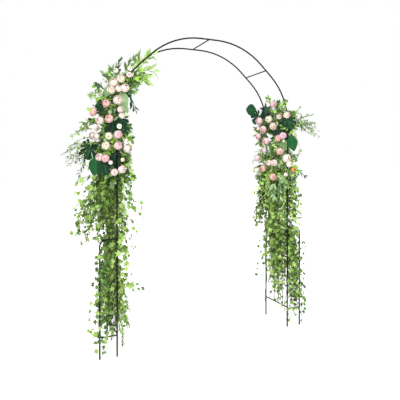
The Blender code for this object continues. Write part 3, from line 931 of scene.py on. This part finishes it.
RIGHT_SWAG_SPRAYS = (
    ("sprig", (0.06, 0.2, 1.76), (0.26, 0.22, 1.74), 0.02),
    ("sprig", (0.06, 0.2, 1.74), (0.26, 0.24, 1.64), 0.03),
    ("sprig", (0.08, 0.2, 1.78), (0.22, 0.22, 1.82), 0.01),
    ("box", (0.0, 0.22, 1.82), (0.1, 0.22, 1.74), 0.02),
    ("box", (0.02, 0.2, 1.84), (0.14, 0.22, 1.77), 0.03),
    ("sprig", (-0.03, 0.17, 1.85), (-0.01, 0.17, 1.94)),
    ("sprig", (0.03, 0.17, 1.8), (0.1, 0.2, 1.88)),
    ("fine", (0.06, 0.18, 1.7), (0.1, 0.22, 1.5), 0.01),
    ("eucalyptus", (0.03, 0.2, 1.4), (0.09, 0.22, 1.51)),
    ("eucalyptus", (-0.03, 0.2, 1.34), (0.02, 0.22, 1.24)),
    ("eucalyptus", (-0.08, 0.2, 1.32), (-0.06, 0.22, 1.22)),
    ("olive", (0.04, 0.2, 1.34), (0.14, 0.22, 1.3), 0.01),
    ("sprig", (0.08, 0.15, 1.76), (0.24, 0.18, 1.7), 0.03),
    ("sprig", (0.08, 0.1, 1.72), (0.2, 0.14, 1.7), 0.02),
    ("sprig", (0.14, 0.2, 1.76), (0.27, 0.24, 1.69), 0.01),
    ("box", (0.06, 0.18, 1.78), (0.17, 0.22, 1.72), 0.02),
    ("box", (0.1, 0.2, 1.72), (0.22, 0.22, 1.7)),
    ("coin", (-0.1, 0.2, 1.79), (-0.09, 0.22, 1.88)),
    ("fine", (-0.08, 0.2, 1.79), (-0.05, 0.22, 1.9)),
    ("rose_leaf", (-0.12, 0.19, 1.8), (-0.13, 0.21, 1.88)),
    ("sprig", (0.1, 0.2, 1.7), (0.24, 0.22, 1.65), 0.01),
    ("sprig", (0.12, 0.2, 1.74), (0.25, 0.22, 1.76)),
    ("rose_leaf", (-0.08, 0.05, 1.86), (-0.13, 0.08, 1.95)),
    ("rose_leaf", (-0.04, 0.12, 1.86), (-0.1, 0.14, 1.93)),
    ("rose_leaf", (-0.02, 0.14, 1.84), (-0.04, 0.16, 1.91)),
    ("coin", (-0.1, 0.1, 1.32), (-0.28, 0.12, 1.17), 0.03),
    ("sage", (-0.14, 0.0, 1.52), (-0.24, 0.02, 1.44), 0.02),
    ("sage", (-0.12, 0.05, 1.46), (-0.22, 0.08, 1.36), 0.02),
)
RIGHT_UPPER_SPRAYS = (
    ("coin", (0.06, 0.18, 1.28), (0.13, 0.18, 0.86), 0.04),
    ("olive", (-0.14, 0.0, 1.3), (-0.2, 0.0, 0.92), 0.03),
    ("box", (-0.12, 0.02, 1.22), (-0.23, 0.02, 0.96), 0.03),
    ("ivy", (0.02, 0.18, 1.3), (0.09, 0.2, 1.16), 0.01),
    ("ivy", (0.02, 0.18, 1.1), (0.11, 0.2, 0.94), 0.01),
    ("ivy", (0.03, 0.19, 1.34), (0.07, 0.2, 0.98)),
    ("ivy", (0.05, 0.18, 1.2), (0.09, 0.19, 0.86)),
    ("ivy", (0.02, 0.19, 1.02), (0.06, 0.2, 0.84)),
    ("deep_ivy", (0.02, 0.19, 1.36), (0.08, 0.2, 1.16), 0.01),
    ("deep_ivy", (0.01, 0.18, 1.14), (0.08, 0.2, 0.96), 0.01),
    ("rose_leaf", (0.03, 0.18, 1.24), (0.1, 0.2, 1.08), 0.01),
    ("fine", (-0.1, 0.08, 1.38), (-0.15, 0.1, 1.2)),
    ("fine", (-0.15, 0.08, 1.3), (-0.17, 0.1, 1.16)),
    ("sage", (-0.12, 0.13, 1.25), (-0.14, 0.16, 1.12)),
    ("sage", (-0.08, 0.17, 1.3), (-0.1, 0.2, 1.12)),
    ("fine", (-0.04, 0.19, 1.24), (-0.06, 0.21, 1.06)),
    ("fine", (-0.14, 0.1, 1.3), (-0.16, 0.12, 1.14)),
    ("deep_ivy", (-0.1, 0.1, 1.06), (-0.11, 0.12, 0.88)),
    ("deep_ivy", (-0.04, 0.18, 1.06), (-0.03, 0.2, 0.88)),
    ("deep_ivy", (-0.12, 0.05, 1.04), (-0.1, 0.09, 0.9)),
    ("ivy", (-0.05, 0.16, 1.02), (-0.06, 0.18, 0.86)),
    ("ivy", (-0.08, 0.08, 1.08), (-0.08, 0.1, 0.9)),
)
RIGHT_LOWER_SPRAYS = (
    ("deep_strand", (0.05, 0.19, 0.8), (0.06, 0.19, 0.14)),
    ("ivy_strand", (0.03, 0.18, 0.8), (0.09, 0.19, 0.2)),
    ("small_ivy", (0.04, 0.17, 0.84), (0.07, 0.19, 0.46)),
    ("small_ivy", (0.06, 0.17, 0.7), (0.1, 0.19, 0.24)),
    ("deep_strand", (0.13, 0.19, 0.78), (0.12, 0.19, 0.1)),
    ("ivy_strand", (-0.02, -0.19, 0.8), (-0.05, -0.19, 0.42)),
    ("box", (0.13, 0.19, 0.74), (0.19, 0.22, 0.58), 0.02),
    ("ivy_strand", (0.02, 0.19, 0.48), (0.02, 0.19, 0.18)),
    ("ivy_strand", (0.0, -0.02, 0.46), (0.0, -0.02, 0.22)),
    ("small_ivy", (0.0, 0.08, 0.42), (0.0, 0.08, 0.16)),
    ("deep_ivy", (0.03, 0.19, 0.3), (0.05, 0.2, 0.22)),
    ("deep_ivy", (-0.03, 0.17, 0.46), (0.0, 0.2, 0.32)),
    ("deep_ivy", (0.05, 0.18, 0.86), (0.08, 0.2, 0.74)),
    ("deep_ivy", (0.1, 0.18, 0.24), (0.13, 0.19, 0.14)),
    ("ivy_strand", (0.03, 0.17, 0.36), (0.03, 0.18, 0.08)),
)

# Large single leaves: surface, shape, height, turn, length, roll of the tip from straight down
# towards the outside in degrees, shade, and how far the leaf stands off the swag
LEFT_LEAVES = (
    ("dark", "slit", 1.495, 172, 0.13, 20, 0.32, 1.4),
    ("dark", "big_leaf", 1.385, 158, 0.145, 10, 0.62, 1.2),
    ("dark", "slit", 1.36, 132, 0.11, -10, 0.3, 0.85),
    ("dark", "slit", 1.72, 72, 0.11, -60, 0.25, 0.9),
    ("dark", "slit", 1.64, 70, 0.11, -40, 0.3, 0.9),
    ("dark", "slit", 1.66, 108, 0.11, 10, 0.15, 0.8),
    ("dark", "slit", 1.81, 168, 0.1, 120, 0.25, 0.85),
    ("dark", "slit", 1.44, 100, 0.11, 10, 0.15, 0.8),
    ("dark", "slit", 1.4, 85, 0.11, -20, 0.2, 0.8),
    ("grey", "big_leaf", 1.88, 80, 0.11, -30, 0.9, 0.92),
    ("grey", "big_leaf", 1.82, 72, 0.1, -50, 0.75, 0.92),
    ("grey", "big_leaf", 1.9, 140, 0.1, 50, 0.6, 1.0),
)
RIGHT_LEAVES = (
    ("dark", "big_round", 1.955, -30, 0.115, -90, 0.55, 1.3),
    ("dark", "slit", 1.84, -26, 0.115, -60, 0.35, 1.15),
    ("dark", "ivy", 1.93, 15, 0.12, -170, 0.1, 0.9),
    ("dark", "ivy", 1.87, 2, 0.11, -120, 0.1, 0.9),
    ("dark", "slit", 1.745, 82, 0.118, 30, 0.25, 1.1),
    ("dark", "big_leaf", 1.575, 88, 0.135, 15, 0.62, 1.2),
    ("dark", "slit", 1.69, 46, 0.11, 0, 0.15, 0.85),
    ("dark", "slit", 1.66, 78, 0.11, 10, 0.2, 0.9),
    ("grey", "big_leaf", 1.55, 66, 0.1, 0, 0.55, 0.95),
)

REAR_ROSES = 11
LEAF_OVAL = (0.13, 0.21)  # half width and half depth of the oval that the large leaves sit on
SWAG_TOP = {LEFT: 2.1, RIGHT: 1.86}
SWAG_WAIST = 1.7  # below it the left swag's leaves reach further, and the right one's are pale
VINE_SHOOTS = 100

# The leaves between the roses, the commoner ones several times, and the paler ones low on the right
SWAG_KINDS = ("rose_leaf", "rose_leaf", "rose_leaf", "box", "sage", "eucalyptus")
PALE_KINDS = ("pale_sage", "pale_sage", "sage", "rose_leaf", "eucalyptus")
UPPER_KINDS = ("ivy", "ivy", "small_ivy", "box")
LOWER_KINDS = ("small_ivy", "small_ivy", "ivy_strand", "ivy")

# Trails that hang over an oval beside the posts: the oval's centre and its half sizes, outward and
# forward, how many trails, the height they start at, their length, kinds and brightness, and how
# much longer they are for each metre forward. FLARE is how wide they start, as a share of the oval.
FLARE = {LEFT: 0.22, RIGHT: 0.45}
UPPER_TRAILS = {
    LEFT: (((0.06, 0.0), (0.21, 0.2), 58, 1.36, 0.52, UPPER_KINDS, 0.62, 0.0),),
    RIGHT: (
        ((-0.03, 0.0), (0.14, 0.2), 66, 1.36, 0.49, UPPER_KINDS, 0.68, 0.0),
        ((0.03, 0.16), (0.05, 0.05), 9, 1.36, 0.52, ("deep_ivy", "small_ivy"), 0.4, 0.0),
    ),
}
LOWER_TRAILS = {
    LEFT: (
        ((0.01, 0.0), (0.09, 0.17), 36, 0.91, 0.7, LOWER_KINDS, 0.54, 0.0),
        ((0.01, 0.0), (0.08, 0.17), 16, 0.6, 0.46, (*LOWER_KINDS, "fern"), 0.5, 0.0),
    ),
    RIGHT: (
        ((0.01, 0.0), (0.07, 0.17), 32, 0.88, 0.53, LOWER_KINDS, 0.6, 1.5),
        ((0.01, 0.0), (0.07, 0.17), 6, 0.6, 0.32, (*LOWER_KINDS, "fern"), 0.5, 1.3),
        ((0.09, 0.16), (0.08, 0.04), 17, 0.88, 0.66, LOWER_KINDS, 0.48, 0.0),
    ),
}


def plant_roses(garland, roses):
    """The roses in the list, and some round the rear that are drawn by lot."""
    blooms = Growth()
    for height, turn, tone, width in roses:
        layers = BUD_LAYERS if width < BUD_WIDTH else len(PETAL_LAYERS)
        grow_rose(garland, blooms, height, turn, tone, width, layers)
    rng = garland.rng
    for height in np.linspace(1.34, max(rose[0] for rose in roses) - 0.06, REAR_ROSES):
        tone = rng.choice(("cream", "blush", "pink", "pale", "peach"))
        turn, width = rng.uniform(215, 325), rng.uniform(0.045, 0.068)
        grow_rose(garland, blooms, float(height), turn, tone, width)
    blooms.build(f"{garland.name}_roses", PETAL_SURFACE, "blossom")


def plant_leaves(garland, leaves):
    """The large single leaves of a swag, on stalks from its middle line."""
    for surface, shape, height, turn, length, roll, light, lift in leaves:
        middle_point = on_garland(garland.side, height, turn, *(lift * half for half in LEAF_OVAL))
        to_stand = unit(STAND - middle_point)
        face = unit(facing(garland.side, height, turn) * 0.5 + to_stand - DOWN * 0.2)
        outside = np.array((float(garland.side), 0.0, 0.0))
        tip = DOWN * cos(radians(roll)) + outside * sin(radians(roll))
        tip = unit(tip - face * (tip * face).sum())
        base = middle_point - tip * length * 0.5
        garland.growth(surface).leaf(shape, base, tip, face, length, light, garland.rng)
        garland.show(middle_point, face, length * 0.4)
        root = on_garland(garland.side, height, turn, 0.02, 0.08)
        bend = (root + base) / 2 - tip * 0.02
        garland.stems.stem([root, bend, base], 0.0018, 0.0014, garland.rng.random(), sides=5)


def plant_sprays(garland, sprays):
    for kind, base, tip, *rise in sprays:
        start, end = (
            np.array((garland.side * (POST_X + out), -forward, height))
            for out, forward, height in (base, tip)
        )
        arc = 4 * rise[0] if rise else 0.0
        lifted = end - start - DOWN * arc
        length = sqrt((lifted * lifted).sum())
        garland.shoot(kind, start, lifted, length, arc / length, 0.55, sway=0.03)


def hanging_ivy(garland, centre, half, count, top, length, kinds, light, lean):
    """Trails that flare as they hang, with leaves all the way down, clear of the front post."""
    rng = garland.rng
    for _ in range(count):
        angle, radius = rng.uniform(0, 2 * pi), rng.random() ** 0.65
        out = centre[0] + half[0] * radius * cos(angle)
        forward = centre[1] + half[1] * radius * sin(angle)
        drop = length * rng.uniform(0.6, 1.1) * (1 + lean * forward)
        high = top + rng.uniform(-0.04, 0.06)
        start = np.array((garland.side * (POST_X + out * FLARE[garland.side]), -forward * 0.9, high))
        reach = np.array((garland.side * (POST_X + out), -forward, high - drop)) - start
        if all(garland.clear(start + reach * part) for part in (0.04, 0.12, 0.24)):
            kind, trail = rng.choice(kinds), sqrt((reach * reach).sum())
            garland.shoot(kind, start, reach, trail, 0.0, light, garland.off_frame, 0.04)


def grow_swag(name, side, roses, leaves, sprays):
    """The roses and mixed leaves of one side. Returns what smaller leaves keep clear of."""
    garland = Garland(f"{name}_swag", side, 11 + side)
    plant_roses(garland, roses)
    plant_leaves(garland, leaves)
    plant_sprays(garland, sprays)
    rng, top = garland.rng, SWAG_TOP[side]
    for out, y in ((0.0, FRONT_Y + 0.015), (0.0, -FRONT_Y), (0.03, 0.0)):
        path = vine(garland, out, y, 1.25, top, 0.02)
        for _ in range(VINE_SHOOTS):
            base = path[rng.randrange(len(path))]
            turn = rng.uniform(-10, 370)
            direction = facing(side, min(base[2], SPRING_Z), turn) + garland.wobble(0.3)
            low = base[2] < SWAG_WAIST
            pale = low and side == RIGHT
            kind = rng.choice(PALE_KINDS if pale else SWAG_KINDS)
            light = 0.9 if pale else 0.66 if base[2] > 0.8 * top else 0.5
            longest = 0.11 if low and side == LEFT else 0.08
            garland.shoot(kind, base, direction, rng.uniform(0.05, longest), 0.2, light)
    garland.build(f"{name}_flower_swag")
    return garland.shown


def grow_ivy(name, side, seed, sprays, posts, span, trails, shown=()):
    """A stretch of ivy: vines up the posts over a span (low, high, radius), and hanging trails."""
    garland = Garland(name, side, seed + side)
    garland.shown.extend(shown)
    plant_sprays(garland, sprays)
    for out, y in posts:
        vine(garland, out, y, *span)
    for trail in trails:
        hanging_ivy(garland, *trail)
    garland.build(name)


for name, side, roses, leaves, swag_sprays, upper_sprays, lower_sprays in (
    (
        "left", LEFT, LEFT_ROSES, LEFT_LEAVES,
        LEFT_SWAG_SPRAYS, LEFT_UPPER_SPRAYS, LEFT_LOWER_SPRAYS,
    ),
    (
        "right", RIGHT, RIGHT_ROSES, RIGHT_LEAVES,
        RIGHT_SWAG_SPRAYS, RIGHT_UPPER_SPRAYS, RIGHT_LOWER_SPRAYS,
    ),
):
    shown = grow_swag(name, side, roses, leaves, swag_sprays)
    posts = [(0.0, FRONT_Y + 0.022), (0.0, -FRONT_Y)]
    span = (0.86, 1.34, 0.012)
    grow_ivy(f"{name}_upper_ivy", side, 21, upper_sprays, posts, span, UPPER_TRAILS[side], shown)
    posts.append((WING_X - POST_X, FRONT_Y + 0.022))
    span = (0.12, 0.85, 0.01)
    grow_ivy(f"{name}_lower_ivy", side, 31, lower_sprays, posts, span, LOWER_TRAILS[side])
